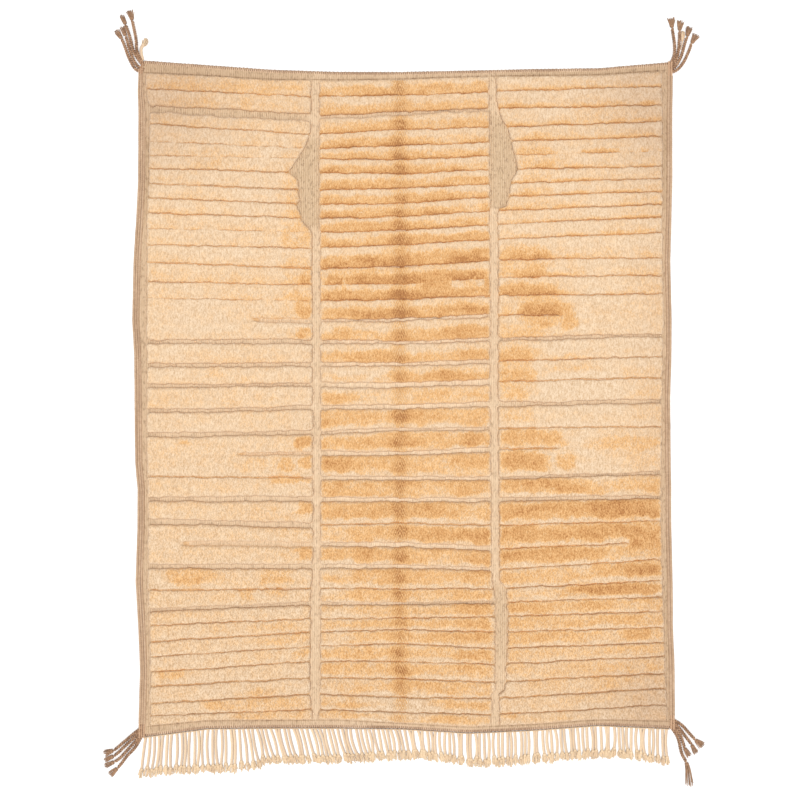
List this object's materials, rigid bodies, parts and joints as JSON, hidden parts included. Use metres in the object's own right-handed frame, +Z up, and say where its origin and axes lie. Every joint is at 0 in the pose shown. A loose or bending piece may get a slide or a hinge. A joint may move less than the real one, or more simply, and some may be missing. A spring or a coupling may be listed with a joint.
{
  "type": "beni mrirt rug",
  "caption": "Flat hand-knotted wool rug with a banded pile, flat-woven lines, corner plaits and a knotted fringe at one end.",
  "frame": {"origin": "middle of the rug's underside", "axes": "+X across the rug, +Y along it towards the end without a fringe, +Z up out of the pile"},
  "size_m": [2.7741, 3.5766, 0.0232],
  "materials": {
    "pile_wool": "knotted wool pile, cream with amber abrash",
    "heading_wool": "twined wool band, grey brown",
    "selvedge_wool": "overcast wool cords, tan and brown",
    "plait_wool": "plaited brown wool",
    "warp_wool": "twisted cream warp yarn"
  },
  "bodies": {
    "root": {"rug_field": "pile_wool", "heading_top": "heading_wool", "heading_bottom": "heading_wool", "selvedge_left": "selvedge_wool", "selvedge_right": "selvedge_wool", "fringe": "warp_wool", "plaits_top_left": "plait_wool", "plaits_top_right": "plait_wool", "plaits_bottom_left": "plait_wool", "plaits_bottom_right": "plait_wool", "warp_tassel_top_left": "warp_wool", "warp_end_top_right": "warp_wool"}
  },
  "joints": []
}
